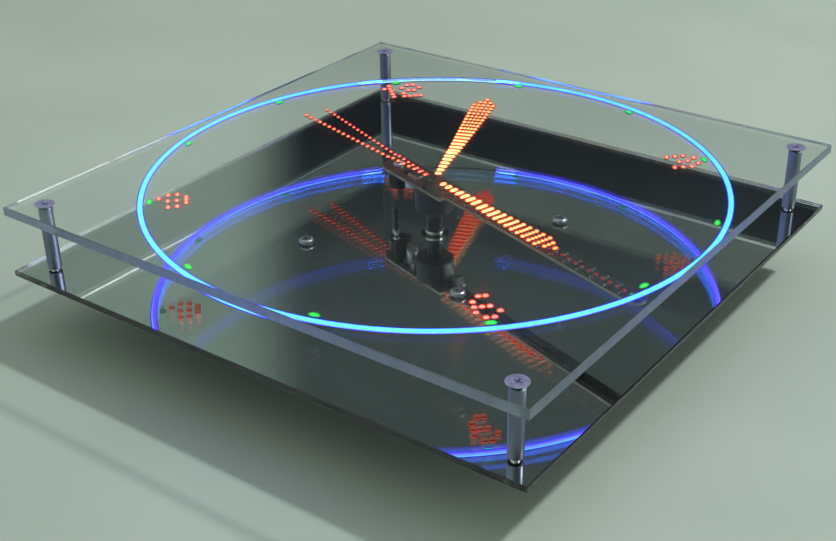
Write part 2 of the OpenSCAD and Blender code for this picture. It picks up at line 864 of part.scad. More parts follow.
module motor_leads() {
    z = z_can - terminal_len / 2;
    color("#a32020") for (x = [-terminal_r, terminal_r]) {
        lead([[x, terminal_t / 2, z], [x, lead_y, z], [x, lead_y, z_control]]);
    }
}

module brush_leads() {
    color("#a32020") for (i = [0, 1]) {
        x = (i == 0 ? 1 : -1) * brush_mid;
        z = z_rings[i] + ring_w / 2;
        lead([[x, brush_end, z], [x, lead_y, z], [x, lead_y, z_control_top]]);
    }
}

// Rotor

module spindle() {
    color("#1d1f22") difference() {
        translate([0, 0, z_spindle]) cylinder(d = spindle_d, h = z_spindle_top - z_spindle);
        hole(shaft_d + 2 * fit);
        translate([0, 0, z_shaft_top]) cylinder(d = spindle_bore, h = through);
    }
}

// Places what lies along the hub's set screw hole, from the spindle axis outwards
module at_set_screw() {
    translate([0, 0, z_hub + hub_grip / 2]) rotate([90, 0, 45]) children();
}

module rotor_hub() {
    r = hub_d / 2;
    color("#17191b") on_bar() difference() {
        translate([0, 0, z_hub]) rotate_extrude() polygon([
            [0, 0], [r - hub_chamfer, 0], [r, hub_chamfer], [r, hub_h], [0, hub_h]
        ]);
        translate([0, 0, z_hub - eps]) cylinder(d = spindle_d + 2 * fit, h = hub_grip + eps);
        hole(spindle_bore);
        at_board_screws() translate([0, 0, z_board - board_grip - run_out])
            cylinder(d = board_screw_d + 2 * fit, h = hub_h);
        at_set_screw() cylinder(d = set_screw_d + 2 * fit, h = hub_d);
    }
}

module hub_set_screw() {
    start = spindle_d / 2 + fit;
    len = hub_d / 2 - set_screw_sink - start;
    color("#8f949a") on_bar() at_set_screw() translate([0, 0, start]) difference() {
        cylinder(d = set_screw_d, h = len);
        translate([0, 0, len - set_screw_recess])
            cylinder(d = set_screw_d / 2, h = set_screw_recess + eps, $fn = 6);
    }
}

module rotor_board() {
    straight = arm_end - arm_w / 2 - arm_start;
    color("#121614") on_bar() difference() {
        translate([0, 0, z_board]) union() {
            translate([-weight_at, -board_w / 2, 0]) cube([weight_at + arm_start, board_w, board_t]);
            translate([-weight_at, 0, 0]) cylinder(d = board_w, h = board_t);
            translate([arm_start - eps, -arm_w / 2, 0]) cube([straight + eps, arm_w, board_t]);
            translate([arm_start + straight, 0, 0]) cylinder(d = arm_w, h = board_t);
        }
        at_board_screws() hole(board_screw_d + 2 * fit);
        translate([-weight_at, 0, 0]) hole(weight_screw_d + 2 * fit);
    }
}

module board_screws() {
    color("#aab0b8") on_bar() at_board_screws() translate([0, 0, z_board_top])
        pan_screw(board_screw_d, board_t + board_grip);
}

module lamp(i) {
    on_bar() translate([lamp_first + i * lamp_pitch, 0, z_board_top]) {
        block([lamp_l, lamp_w, lamp_body_h]);
        cylinder(d = lens_d, h = lamp_body_h + lens_h);
    }
}

module red_lamps() {
    color("#e2452c") for (i = [0:red_count - 1]) lamp(i);
}

module green_lamp() {
    color("#2fc45a") lamp(red_count);
}

module blue_lamp() {
    color("#3c6cf0") lamp(red_count + 1);
}

// One resistor beside each lamp, left and right in turn
module lamp_resistors() {
    color("#1a1a1a") on_bar() for (i = [1:red_count + 1]) {
        s = i % 2 == 0 ? 1 : -1;
        translate([lamp_first + i * lamp_pitch, s * resistor_y, z_board_top]) block(resistor_size);
    }
}

module lamp_drivers() {
    color("#202124") on_bar() for (i = [0:driver_count - 1]) {
        translate([driver_first + i * driver_step, 0, z_board]) mirror([0, 0, 1])
            leg_chip(driver_size, driver_span, 8);
    }
}

module microcontroller() {
    color("#202124") on_bar() translate([-micro_at, 0, z_board_top]) {
        for (a = [0, 90]) rotate(a) leg_chip([micro_w, micro_w, micro_h], micro_span, 8);
    }
}

module rotor_regulator() {
    color("#26272a") on_bar() translate([-regulator_at, 0, z_board_top]) block(regulator_size);
}

module clock_crystal() {
    r = crystal_size[0] / 2;
    side = crystal_size[1] / 2 - r;
    color("#c6c9cc") on_bar() translate([-crystal_at, 0, z_board - crystal_size[2]]) {
        for (s = [-1, 1]) translate([0, s * side, 0]) cylinder(r = r, h = crystal_size[2]);
        block([2 * r, 2 * side, crystal_size[2]]);
    }
}

module rotor_capacitor() {
    color("#b9bcc0") on_bar() translate([-rotor_can_at, 0, z_board]) mirror([0, 0, 1]) {
        block([rotor_can_d, rotor_can_d, rotor_can_foot]);
        cylinder(d = rotor_can_d, h = rotor_can_h);
    }
}

module sync_sensor() {
    color("#1f2023") on_bar() translate([index_r, 0, z_board - sensor_size[2]]) block(sensor_size);
}

module rotor_leads() {
    color("#a32020") on_bar() for (s = [-1, 1]) {
        translate([0, s * spindle_bore / 4, z_shaft_top + fit])
            cylinder(d = rotor_lead_d, h = z_board - z_shaft_top - fit);
    }
}

module counterweight() {
    color("#2b2d31") on_bar() translate([-weight_at, 0, z_board - weight_h]) difference() {
        cylinder(d = weight_d, h = weight_h);
        hole(weight_screw_d + 2 * fit);
    }
}

module counterweight_screw() {
    color("#aab0b8") on_bar() translate([-weight_at, 0, z_board_top])
        pan_screw(weight_screw_d, board_t + weight_h - weight_screw_sink);
}

base_plate();
cover_plate();
post(corners[0]);  // post_front
post(corners[1]);  // post_right
post(corners[2]);  // post_back
post(corners[3]);  // post_left
cover_screws();
post_screws();
housing();
housing_screws();
bottom_lid();
lid_screws();
foot(corners[0]);  // foot_front
foot(corners[1]);  // foot_right
foot(corners[2]);  // foot_back
foot(corners[3]);  // foot_left
spindle_bush();
index_pin();
index_nut();
motor_plate();
motor_plate_screws();
motor_screws();
motor_can();
motor_bearing();
motor_magnets();
motor_end_cap();
motor_terminals();
brush_holder();
brush_holder_screws();
brushes();
control_board();
control_board_screws();
drive_transistor();
control_chip();
filter_capacitor();
power_inlet();
motor_leads();
brush_leads();
motor_shaft();
motor_armature();
motor_commutator();
spindle();
slip_rings();
rotor_hub();
hub_set_screw();
rotor_board();
board_screws();
red_lamps();
green_lamp();
blue_lamp();
lamp_resistors();
lamp_drivers();
microcontroller();
rotor_regulator();
clock_crystal();
rotor_capacitor();
sync_sensor();
rotor_leads();
counterweight();
counterweight_screw();
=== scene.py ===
"""Looks of the propeller clock: its finishes, the dial that its lamps draw, the floor, light and camera."""

import json
import math
from collections import namedtuple

import bmesh
import bpy
from mathutils import Matrix, Vector


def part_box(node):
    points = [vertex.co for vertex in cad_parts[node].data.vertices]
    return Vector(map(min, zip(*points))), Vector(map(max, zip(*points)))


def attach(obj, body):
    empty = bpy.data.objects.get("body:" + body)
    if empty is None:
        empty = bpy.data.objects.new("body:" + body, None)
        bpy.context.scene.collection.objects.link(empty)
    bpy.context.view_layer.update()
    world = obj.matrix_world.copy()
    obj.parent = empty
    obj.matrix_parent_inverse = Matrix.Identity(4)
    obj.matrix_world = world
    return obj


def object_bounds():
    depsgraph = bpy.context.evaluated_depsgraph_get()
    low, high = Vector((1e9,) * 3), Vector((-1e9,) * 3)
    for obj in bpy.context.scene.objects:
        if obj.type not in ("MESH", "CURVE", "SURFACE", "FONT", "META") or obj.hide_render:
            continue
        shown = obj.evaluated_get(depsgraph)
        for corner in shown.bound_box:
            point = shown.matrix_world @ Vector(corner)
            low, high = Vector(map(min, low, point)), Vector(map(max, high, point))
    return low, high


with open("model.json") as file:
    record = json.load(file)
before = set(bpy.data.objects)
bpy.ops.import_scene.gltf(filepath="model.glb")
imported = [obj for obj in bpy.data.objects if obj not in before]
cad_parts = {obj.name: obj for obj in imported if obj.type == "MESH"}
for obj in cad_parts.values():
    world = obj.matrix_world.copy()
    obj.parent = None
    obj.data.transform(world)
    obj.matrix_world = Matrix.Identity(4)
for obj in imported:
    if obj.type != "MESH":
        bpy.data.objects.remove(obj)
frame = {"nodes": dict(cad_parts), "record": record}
cad_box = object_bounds()

MM = 0.001

# Camera: the photograph's frame is 836 pixels wide
IMAGE_W = 836
FOCAL_PX = 1300.5
SENSOR_W = 36.0
CAMERA_TURN = math.radians(36.643)
CAMERA_RISE = math.radians(28.491)
CAMERA_ROLL = math.radians(-0.837)
CAMERA_FROM_DECK = Vector((351.57, -487.74, 306.08)) * MM

# Light
KEY_FROM = Vector((0.485, 0.618, 1.0)).normalized()
KEY_DISTANCE = 2.5
KEY_SIZE = 0.17
KEY_POWER = 41.0
ROOM_LOW = (0.007, 0.010, 0.014, 1)
ROOM_HIGH = (0.060, 0.078, 0.076, 1)
ROOM_BRIGHT = (0.22, 0.285, 0.245, 1)
ROOM_LEFT = (0.62, 0.70, 0.62, 1)
CEILING = (0.68, 0.72, 0.68, 1)
WINDOW = (2.3, 2.4, 2.25, 1)
WINDOW_TURN = math.radians(27)
WINDOW_RISE = math.radians(29)
WINDOW_EDGE = (math.cos(math.radians(18)), math.cos(math.radians(13)))
HIGH_WALL = (0.36, 0.56)
BRIGHT_WALL = (0.08, 0.15)
LEFT_WALL = (0.38, 0.62)
CEILING_EDGE = (0.66, 0.82)
BACKDROP = (0.40, 0.45, 0.41, 1)

# Floor
FLOOR_SIDE = 12.0
FLOOR_PALE = (0.385, 0.450, 0.395, 1)
FLOOR_DEEP = (0.345, 0.410, 0.355, 1)
FLOOR_MOTTLE = 0.25


def middle(node):
    """Centre of a CAD node's box."""
    low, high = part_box(node)
    return (low + high) / 2


# The lamp bar: its angle and the radius of each lamp come from where the lamps sit
RED_LAMPS = 30
BAR_ANGLE = math.atan2(middle("blue_lamp").y, middle("blue_lamp").x)
RING_R = middle("blue_lamp").to_2d().length
DOT_R = middle("green_lamp").to_2d().length
LAMP_PITCH = RING_R - DOT_R
BOARD_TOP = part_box("rotor_board")[1].z
LAMP_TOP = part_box("blue_lamp")[1].z
LAMP_BODY_H = 0.6 * MM

# The dial that the lamps draw while the bar turns, in the room between lamps and cover
TWELVE = math.radians(135)
FLASH_STEP = 1.5
COVER_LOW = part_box("cover_plate")[0].z
LIGHT_SHARE = 0.40
LIGHT_ROOM = LIGHT_SHARE * (COVER_LOW - LAMP_TOP)
LIGHT_Z = LAMP_TOP + LIGHT_ROOM
CORE_FILL = 0.72
GLOW_FILL = 0.95
CORE_H = CORE_FILL * LIGHT_ROOM
GLOW_H = GLOW_FILL * LIGHT_ROOM

# Near the centre the light stands higher, clear of the taller parts on the bar's short end
TALL_PARTS = ("microcontroller", "rotor_regulator", "counterweight_screw")
TALL_TOP = max(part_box(node)[1].z for node in TALL_PARTS)
TALL_MARGIN = 2 * MM
TALL_REACH = max(corner.to_2d().length for node in TALL_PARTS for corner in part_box(node)) + TALL_MARGIN
INNER_ROOM = (COVER_LOW - TALL_TOP) / 2
INNER_Z = TALL_TOP + INNER_ROOM
INNER_H = GLOW_FILL * INNER_ROOM


class Graph:
    """A node tree, with short ways to add nodes and join them."""

    def __init__(self, tree):
        self.nodes = tree.nodes
        self.links = tree.links

    def add(self, kind, inputs=None, **settings):
        """A new node with its settings, and its inputs set or joined by name or number."""
        node = self.nodes.new("ShaderNode" + kind)
        for name, value in settings.items():
            setattr(node, name, value)
        for key, value in (inputs or {}).items():
            self.feed(node.inputs[key], value)
        return node

    def feed(self, socket, value):
        """Joins a socket to the value, or sets it."""
        if isinstance(value, bpy.types.NodeSocket):
            self.links.new(value, socket)
        else:
            socket.default_value = value

    def spread(self, value, start, end, low=0.0, high=1.0):
        """Maps value from start..end to low..high, clamped, with soft ends."""
        inputs = {"Value": value, 1: start, 2: end, 3: low, 4: high}
        return self.add("MapRange", inputs, interpolation_type="SMOOTHSTEP").outputs["Result"]

    def maths(self, operation, first, second=0.0):
        """Result of a maths node."""
        return self.add("Math", {0: first, 1: second}, operation=operation).outputs[0]

    def mix(self, factor, first, second):
        """Colour between first and second."""
        return self.add("Mix", {0: factor, 6: first, 7: second}, data_type="RGBA").outputs[2]


class Look(Graph):
    """A node material built round one Principled shader, in the object's own coordinates."""

    def __init__(self, name, **sockets):
        self.material = bpy.data.materials.new(name)
        self.material.use_nodes = True
        super().__init__(self.material.node_tree)
        self.shader = self.nodes["Principled BSDF"]
        self.output = self.nodes["Material Output"]
        self.place = self.add("TexCoord").outputs["Object"]
        for socket, value in sockets.items():
            self.set(socket.replace("_", " "), value)

    def set(self, socket, value):
        self.feed(self.shader.inputs[socket], value)

    def turned(self, angle):
        """Coordinates turned so that the direction at this angle becomes X."""
        return self.add("Mapping", {"Vector": self.place, "Rotation": (0, 0, -angle)}).outputs[0]

    def axes(self, place=None):
        return self.add("SeparateXYZ", {0: place or self.place}).outputs

    def noise(self, size, detail=4.0, stretch=(1, 1, 1)):
        """Noise whose features are about this size, drawn out where stretch is small."""
        place = self.add("Mapping", {"Vector": self.place, "Scale": stretch}).outputs[0]
        return self.add("TexNoise", {"Vector": place, "Scale": 1 / size, "Detail": detail}).outputs["Fac"]

    def bands(self, pitch, axis="Z", shape="BANDS", place=None):
        """Waves of this pitch along an axis, or in rings round it."""
        way = {"bands_direction": axis} if shape == "BANDS" else {"rings_direction": axis}
        inputs = {"Vector": place or self.place, "Scale": math.pi / 10 / pitch}
        return self.add("TexWave", inputs, wave_type=shape, **way).outputs["Fac"]

    def upright(self):
        """1 on level faces, 0 on side faces."""
        normal = self.add("NewGeometry").outputs["Normal"]
        level = self.maths("ABSOLUTE", self.axes(normal)["Z"])
        return self.spread(level, 0.80, 0.95)

    def tint(self, value, low, high, start=0.35, end=0.65):
        """Base colour that follows a value."""
        self.set("Base Color", self.mix(self.spread(value, start, end), low, high))

    def rough(self, value, low, high, start=0.35, end=0.65):
        self.set("Roughness", self.spread(value, start, end, low, high))

    def bump(self, value, depth, edge=0.0):
        """Relief of this depth, with edges softened over a width."""
        inputs = {"Height": value, "Distance": depth, "Strength": 1.0}
        if edge:
            inputs["Normal"] = self.add("Bevel", {"Radius": edge}, samples=6).outputs[0]
        self.set("Normal", self.add("Bump", inputs).outputs[0])


def grey(level):
    return (level, level, level, 1)


# Finishes, one function for each material slot of the record

def dark_acrylic(name):
    """Faintly smoked clear sheet with wiping marks and sawn edges. A film of its own silvers its back."""
    look = Look(name, Transmission_Weight=1.0, IOR=1.49)
    level = look.upright()
    wiped = look.noise(45 * MM, 5.0, (1.0, 0.35, 1.0))
    face = look.mix(look.spread(wiped, 0.3, 0.7), (0.90, 0.93, 0.915, 1), (0.95, 0.97, 0.96, 1))
    sawn = look.mix(look.bands(0.8 * MM, "X"), (0.60, 0.66, 0.66, 1), (0.72, 0.78, 0.78, 1))
    look.set("Base Color", look.mix(level, sawn, face))
    gloss = look.spread(wiped, 0.35, 0.75, 0.0, 0.003)
    look.set("Roughness", look.add("Mix", {0: level, 2: 0.22, 3: gloss}).outputs[0])
    return look.material


def clear_acrylic(name):
    """Clear sheet with a little dust, frosted sawn edges, and light that passes through to what is below."""
    look = Look(name, Base_Color=(0.955, 0.985, 0.975, 1), Transmission_Weight=1.0, IOR=1.49)
    level = look.upright()
    cloud = look.noise(60 * MM, 5.0)
    look.rough(cloud, 0.0, 0.003, 0.4, 0.7)
    dust = look.spread(cloud, 0.3, 0.75, 0.004, 0.007)
    saw_marks = look.noise(4 * MM, 4.0, (1, 1, 0.1))
    frost = look.spread(saw_marks, 0.2, 0.8, 0.46, 0.56)
    pale = look.mix(level, (0.33, 0.40, 0.43, 1), (0.80, 0.84, 0.86, 1))
    front = look.add("BsdfDiffuse", {"Color": pale}).outputs[0]
    behind = look.add("BsdfTranslucent", {"Color": pale}).outputs[0]
    scatter = look.add("MixShader", {0: 0.5, 1: front, 2: behind}).outputs[0]
    amount = look.add("Mix", {0: level, 2: frost, 3: dust}).outputs[0]
    sheet = look.add("MixShader", {0: amount, 1: look.shader.outputs[0], 2: scatter}).outputs[0]
    passing = look.mix(level, (0.30, 0.34, 0.34, 1), (0.90, 0.93, 0.92, 1))
    through = look.add("BsdfTransparent", {"Color": passing}).outputs[0]
    path = look.add("LightPath").outputs
    unseen = look.maths("MAXIMUM", path["Is Shadow Ray"], path["Is Diffuse Ray"])
    shown = look.add("MixShader", {0: unseen, 1: sheet, 2: through})
    look.links.new(shown.outputs[0], look.output.inputs["Surface"])
    return look.material


def silvering(name):
    """Mirror film with a slightly wavy, wiped shine."""
    look = Look(name, Metallic=1.0)
    cloud = look.noise(70 * MM, 4.0)
    look.tint(cloud, (0.70, 0.73, 0.715, 1), (0.78, 0.80, 0.79, 1))
    look.rough(cloud, 0.0, 0.003)
    return look.material


def turned_metal(name, low, high, roughness, pitch):
    """Metal turned on a lathe: fine rings round its axis that draw highlights along it."""
    look = Look(name, Metallic=1.0, Anisotropic=0.7, Anisotropic_Rotation=0.25)
    marks = look.noise(6 * MM, 5.0, (1, 1, 12))
    look.tint(marks, low, high)
    look.rough(marks, roughness * 0.75, roughness * 1.25)
    look.set("Tangent", look.add("Tangent", direction_type="RADIAL", axis="Z").outputs[0])
    look.bump(look.bands(pitch), 0.001 * MM)
    return look.material


def polished_post(name):
    """Turned rod with a satin polish: fine rings round its axis draw the light along it. Its colour is
    painted dark and blue: painted shade for the shaded floor it mirrors, and painted reflection of the blue
    ring.
    """
    look = Look(name, Metallic=1.0, Anisotropic=0.8, Anisotropic_Rotation=0.25)
    marks = look.noise(4 * MM, 4.0, (1, 1, 0.12))
    # Painted shade and painted reflection: the metal is darkened and tinted blue to stand in for what the
    # post mirrors.
    look.tint(marks, (0.17, 0.20, 0.27, 1), (0.23, 0.26, 0.34, 1))
    look.rough(marks, 0.34, 0.40)
    look.set("Tangent", look.add("Tangent", direction_type="RADIAL", axis="Z").outputs[0])
    return look.material


def bush_metal(name):
    return turned_metal(name, (0.62, 0.62, 0.60, 1), (0.80, 0.80, 0.78, 1), 0.20, 0.25 * MM)


def brass(name):
    return turned_metal(name, (0.62, 0.42, 0.16, 1), (0.80, 0.58, 0.26, 1), 0.22, 0.25 * MM)


def dark_metal(name):
    return turned_metal(name, (0.028, 0.029, 0.032, 1), (0.055, 0.056, 0.060, 1), 0.36, 0.3 * MM)


def plain_metal(name, low, high, roughness, grain, depth):
    """Plated or bare metal with a fine even grain and a few worn, brighter patches."""
    look = Look(name, Metallic=1.0)
    worn = look.noise(5 * MM, 5.0)
    look.tint(worn, low, high)
    look.rough(worn, roughness * 1.25, roughness * 0.75)
    look.bump(look.noise(grain, 3.0), depth, 0.15 * MM)
    return look.material


def screw_steel(name):
    return plain_metal(name, (0.58, 0.58, 0.62, 1), (0.76, 0.76, 0.79, 1), 0.40, 0.4 * MM, 0.01 * MM)


def screw_painted_dark(name):
    # Painted shade: the steel is darkened to stand in for the dark room that these heads mirror.
    return plain_metal(name, (0.24, 0.26, 0.27, 1), (0.34, 0.36, 0.37, 1), 0.32, 0.4 * MM, 0.01 * MM)


def zinc_head_painted_blue(name):
    """Dull zinc plating, its strong blue a painted reflection of the blue ring light."""
    look = Look(name, Metallic=0.45)
    cloud = look.noise(3 * MM, 5.0)
    # Painted reflection: the blue in these colours stands in for the ring's blue light mirrored in the heads.
    look.tint(cloud, (0.24, 0.24, 0.42, 1), (0.32, 0.32, 0.52, 1))
    look.rough(cloud, 0.30, 0.42)
    look.bump(look.noise(0.4 * MM, 3.0), 0.01 * MM, 0.15 * MM)
    return look.material


def motor_steel(name):
    return plain_metal(name, (0.46, 0.45, 0.42, 1), (0.62, 0.61, 0.58, 1), 0.34, 0.6 * MM, 0.01 * MM)


def spring_bronze(name):
    return plain_metal(name, (0.52, 0.32, 0.16, 1), (0.70, 0.46, 0.26, 1), 0.30, 0.5 * MM, 0.01 * MM)


def magnet(name):
    return plain_metal(name, (0.050, 0.048, 0.046, 1), (0.095, 0.090, 0.086, 1), 0.55, 0.5 * MM, 0.03 * MM)


def sheet_aluminium(name):
    """Rolled sheet, brushed along X."""
    look = Look(name, Metallic=1.0, Anisotropic=0.5)
    brushed = look.noise(0.7 * MM, 4.0, (0.03, 1, 1))
    look.tint(brushed, (0.55, 0.56, 0.57, 1), (0.74, 0.75, 0.76, 1))
    look.rough(brushed, 0.26, 0.40)
    look.bump(brushed, 0.006 * MM, 0.3 * MM)
    return look.material


def armature_iron(name):
    """A stack of thin stampings under varnish."""
    look = Look(name, Metallic=0.8, Coat_Weight=0.4)
    stack = look.bands(0.5 * MM)
    look.tint(stack, (0.10, 0.075, 0.06, 1), (0.24, 0.20, 0.17, 1), 0.2, 0.8)
    look.rough(look.noise(3 * MM), 0.35, 0.55)
    look.bump(stack, 0.03 * MM)
    return look.material


def moulded(name, low, high, roughness, grain, depth, edge):
    """Moulded plastic or rubber with a spark-eroded grain and soft edges."""
    look = Look(name)
    cloud = look.noise(14 * MM, 4.0)
    look.tint(cloud, low, high)
    look.rough(cloud, roughness * 0.85, roughness * 1.15)
    look.bump(look.noise(grain, 3.0), depth, edge)
    return look.material


def black_plastic(name):
    return moulded(name, (0.012, 0.012, 0.013, 1), (0.022, 0.022, 0.024, 1),
                   0.42, 0.7 * MM, 0.05 * MM, 0.8 * MM)


def foot_rubber(name):
    return moulded(name, (0.018, 0.018, 0.017, 1), (0.040, 0.039, 0.037, 1),
                   0.75, 0.4 * MM, 0.04 * MM, 0.5 * MM)


def white_plastic(name):
    return moulded(name, (0.66, 0.65, 0.60, 1), (0.76, 0.75, 0.71, 1), 0.38, 0.6 * MM, 0.02 * MM, 0.3 * MM)


def lead_insulation(name):
    return moulded(name, (0.42, 0.025, 0.02, 1), (0.55, 0.045, 0.03, 1), 0.35, 0.5 * MM, 0.01 * MM, 0.1 * MM)


def brown_plastic(name):
    """Pressed paper laminate: plies show on its sides, fibres on its faces."""
    look = Look(name, Coat_Weight=0.2)
    plies = look.bands(0.35 * MM)
    fibres = look.noise(1.2 * MM, 5.0, (1, 0.25, 1))
    look.tint(look.maths("MULTIPLY", plies, fibres), (0.11, 0.055, 0.025, 1), (0.24, 0.13, 0.06, 1), 0.1, 0.6)
    look.rough(fibres, 0.40, 0.58)
    look.bump(fibres, 0.02 * MM, 0.2 * MM)
    return look.material


def circuit_board(name, mask_low, mask_high, track, angle, pitch):
    """Solder mask over copper tracks that run along the board, with glass fibre on the cut edges."""
    look = Look(name, IOR=1.5, Coat_Weight=0.35)
    place = look.turned(angle)
    across = look.bands(pitch, "Y", place=place)
    broken = look.noise(9 * MM, 2.0, (0.5, 1.5, 1))
    tracks = look.maths("MULTIPLY", look.spread(across, 0.62, 0.74), look.spread(broken, 0.42, 0.50))
    mask = look.mix(look.noise(12 * MM, 4.0), mask_low, mask_high)
    face = look.mix(tracks, mask, track)
    glass = look.mix(look.bands(0.4 * MM), (0.20, 0.17, 0.09, 1), (0.30, 0.27, 0.16, 1))
    look.set("Base Color", look.mix(look.upright(), glass, face))
    look.rough(tracks, 0.34, 0.24, 0.0, 1.0)
    look.bump(tracks, 0.03 * MM)
    return look.material


def green_board(name):
    return circuit_board(name, (0.010, 0.085, 0.030, 1), (0.016, 0.120, 0.045, 1), (0.030, 0.210, 0.085, 1),
                         0.0, 2.4 * MM)


def black_board(name):
    return circuit_board(name, (0.008, 0.009, 0.010, 1), (0.015, 0.016, 0.018, 1), (0.035, 0.034, 0.030, 1),
                         BAR_ANGLE, 1.5 * MM)


def chip_body(name):
    """Black moulding compound: its look, its fine cloud and its colour."""
    look = Look(name)
    cloud = look.noise(1.5 * MM, 4.0)
    look.bump(look.noise(0.12 * MM, 2.0), 0.006 * MM, 0.08 * MM)
    return look, cloud, look.mix(cloud, (0.014, 0.014, 0.015, 1), (0.030, 0.030, 0.031, 1))


def tinned(look, body, legs):
    """Tinned metal where legs is 1, and the body's colour where it is 0."""
    look.set("Base Color", look.mix(legs, body, (0.62, 0.61, 0.58, 1)))
    look.set("Metallic", legs)
    look.set("Roughness", look.spread(legs, 0, 1, 0.5, 0.28))
    return look.material


def chip_plastic(name):
    look, cloud, body = chip_body(name)
    look.set("Base Color", body)
    look.rough(cloud, 0.42, 0.58)
    return look.material


def legged_chip(name, half_body, centre=0.0):
    """A chip that is tinned where it reaches further across the bar than its body, on either side of it."""
    look, _, body = chip_body(name)
    across = look.maths("ABSOLUTE", look.axes(look.turned(BAR_ANGLE))["Y"])
    reach = look.maths("ABSOLUTE", look.maths("SUBTRACT", across, centre))
    return tinned(look, body, look.maths("GREATER_THAN", reach, half_body))


def resistors(name):
    """Chip resistors lie across the bar beside the lamps, with tinned ends."""
    return legged_chip(name, 0.52 * MM, 2.75 * MM)


def drivers(name):
    return legged_chip(name, 1.97 * MM)


def square_chip(name):
    """A chip with legs on all four sides, round its own centre."""
    half_body = 3.5 * MM
    look, _, body = chip_body(name)
    centre = Matrix.Rotation(-BAR_ANGLE, 3, "Z") @ middle("microcontroller")
    away = look.add("VectorMath", {0: look.turned(BAR_ANGLE), 1: centre}, operation="SUBTRACT").outputs[0]
    axes = look.axes(look.add("VectorMath", {0: away}, operation="ABSOLUTE").outputs[0])
    reach = look.maths("MAXIMUM", axes["X"], axes["Y"])
    return tinned(look, body, look.maths("GREATER_THAN", reach, half_body))


def capacitor_sleeve(name):
    """Dark blue shrink sleeve with a pale stripe down one side."""
    look = Look(name)
    height = look.axes()["Z"]
    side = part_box("filter_capacitor")[1].x
    stripe = look.spread(look.axes()["X"], side - 1.6 * MM, side - 1.3 * MM)
    cloud = look.noise(4 * MM, 4.0)
    sleeve = look.mix(cloud, (0.012, 0.020, 0.060, 1), (0.020, 0.032, 0.090, 1))
    look.set("Base Color", look.mix(stripe, sleeve, (0.42, 0.45, 0.52, 1)))
    look.rough(cloud, 0.25, 0.40)
    look.bump(look.maths("ADD", look.noise(1.2 * MM, 3.0), height), 0.02 * MM, 0.2 * MM)
    return look.material


def lens(name, colour, glow):
    """A surface lamp: a dark body with a clear coloured lens that still glows a little."""
    look = Look(name, Coat_Weight=0.6)
    height = look.axes()["Z"]
    edge = BOARD_TOP + LAMP_BODY_H
    top = look.spread(height, edge - 0.02 * MM, edge + 0.02 * MM)
    cloud = look.noise(0.5 * MM, 3.0)
    body = look.mix(cloud, (0.10, 0.10, 0.09, 1), (0.16, 0.155, 0.14, 1))
    look.set("Base Color", look.mix(top, body, colour))
    look.set("Emission Color", look.mix(top, grey(0), glow))
    look.set("Emission Strength", 0.04)
    look.rough(cloud, 0.12, 0.30)
    look.bump(cloud, 0.01 * MM, 0.1 * MM)
    return look.material


def red_lens(name):
    return lens(name, (0.62, 0.03, 0.02, 1), (0.9, 0.06, 0.03, 1))


def green_lens(name):
    return lens(name, (0.03, 0.50, 0.08, 1), (0.05, 0.9, 0.12, 1))


def blue_lens(name):
    return lens(name, (0.03, 0.10, 0.70, 1), (0.06, 0.25, 1.0, 1))


FINISHES = (
    dark_acrylic, clear_acrylic, polished_post, screw_steel, bush_metal, black_plastic, foot_rubber,
    sheet_aluminium, motor_steel, dark_metal, brass, spring_bronze, magnet, armature_iron, white_plastic,
    brown_plastic, green_board, black_board, chip_plastic, capacitor_sleeve, lead_insulation, red_lens,
    green_lens, blue_lens,
)
OWN_FINISHES = {
    "microcontroller": square_chip, "lamp_resistors": resistors, "lamp_drivers": drivers,
    "index_pin": dark_metal, "hub_set_screw": dark_metal, "board_screws": dark_metal,
    "cover_screws": zinc_head_painted_blue, "housing_screws": screw_painted_dark,
}


def finish_parts():
    """Gives every CAD node the finish of its slot, or its own where it has one."""
    by_slot = {finish.__name__: finish(finish.__name__) for finish in FINISHES}
    for row in frame["record"]["subparts"]:
        node = row["node"]
        own = OWN_FINISHES.get(node)
        material = own(node) if own else by_slot[row["material_slot"]]
        mesh = frame["nodes"][node].data
        mesh.materials.clear()
        mesh.materials.append(material)


# The dial of light

# A flash is a bright core inside a clear glow. Flashes of one row run together, with necks between them
Shape = namedtuple("Shape", "half_width half_height half_length neck rim_slot")
STROKE_SIDES = 8
FLASH_LOOPS = 8
TIP_LOOPS = 4
DOT_HALF = 1.25 * MM
CORE_HALF_W = 0.85 * MM
CORE_WAIST = 0.94
GLOW_HALF_W = 1.6 * MM
GLOW_WAIST = 0.62
GLOW_LENGTH = 1.4
GLOW_ALPHA = 0.7
NECK_FROM = 0.9 * MM
NECK_TO = 2.0 * MM
TIP_SCALE = 0.05

# Near the centre the lamps pass more slowly, so the light is broader and has an inner colour of its own
INNER_FROM = 20 * MM
INNER_TO = 110 * MM
PLUMP_REACH = 70 * MM
PLUMP = 0.12

# Faces that look down are dim, and so is the rim above them, because the lamps aim upwards
LOWER_BELOW = -0.6
RIM_BELOW = -0.15
RIM_DIM = 0.35
FLICKER_SIZE = 5 * MM
FLICKER_DIM = 0.86

# Just after twelve the bar comes between its blue lamp and an eye that looks up from the base's mirror
HIDDEN_AT = 10.5
HIDDEN_CORE = 13.5
HIDDEN_GLOW = 18.0
HIDDEN_TILT = math.radians(70)
HIDDEN_SCALE = 1.25
HIDDEN_UNDERCUT = 0.5

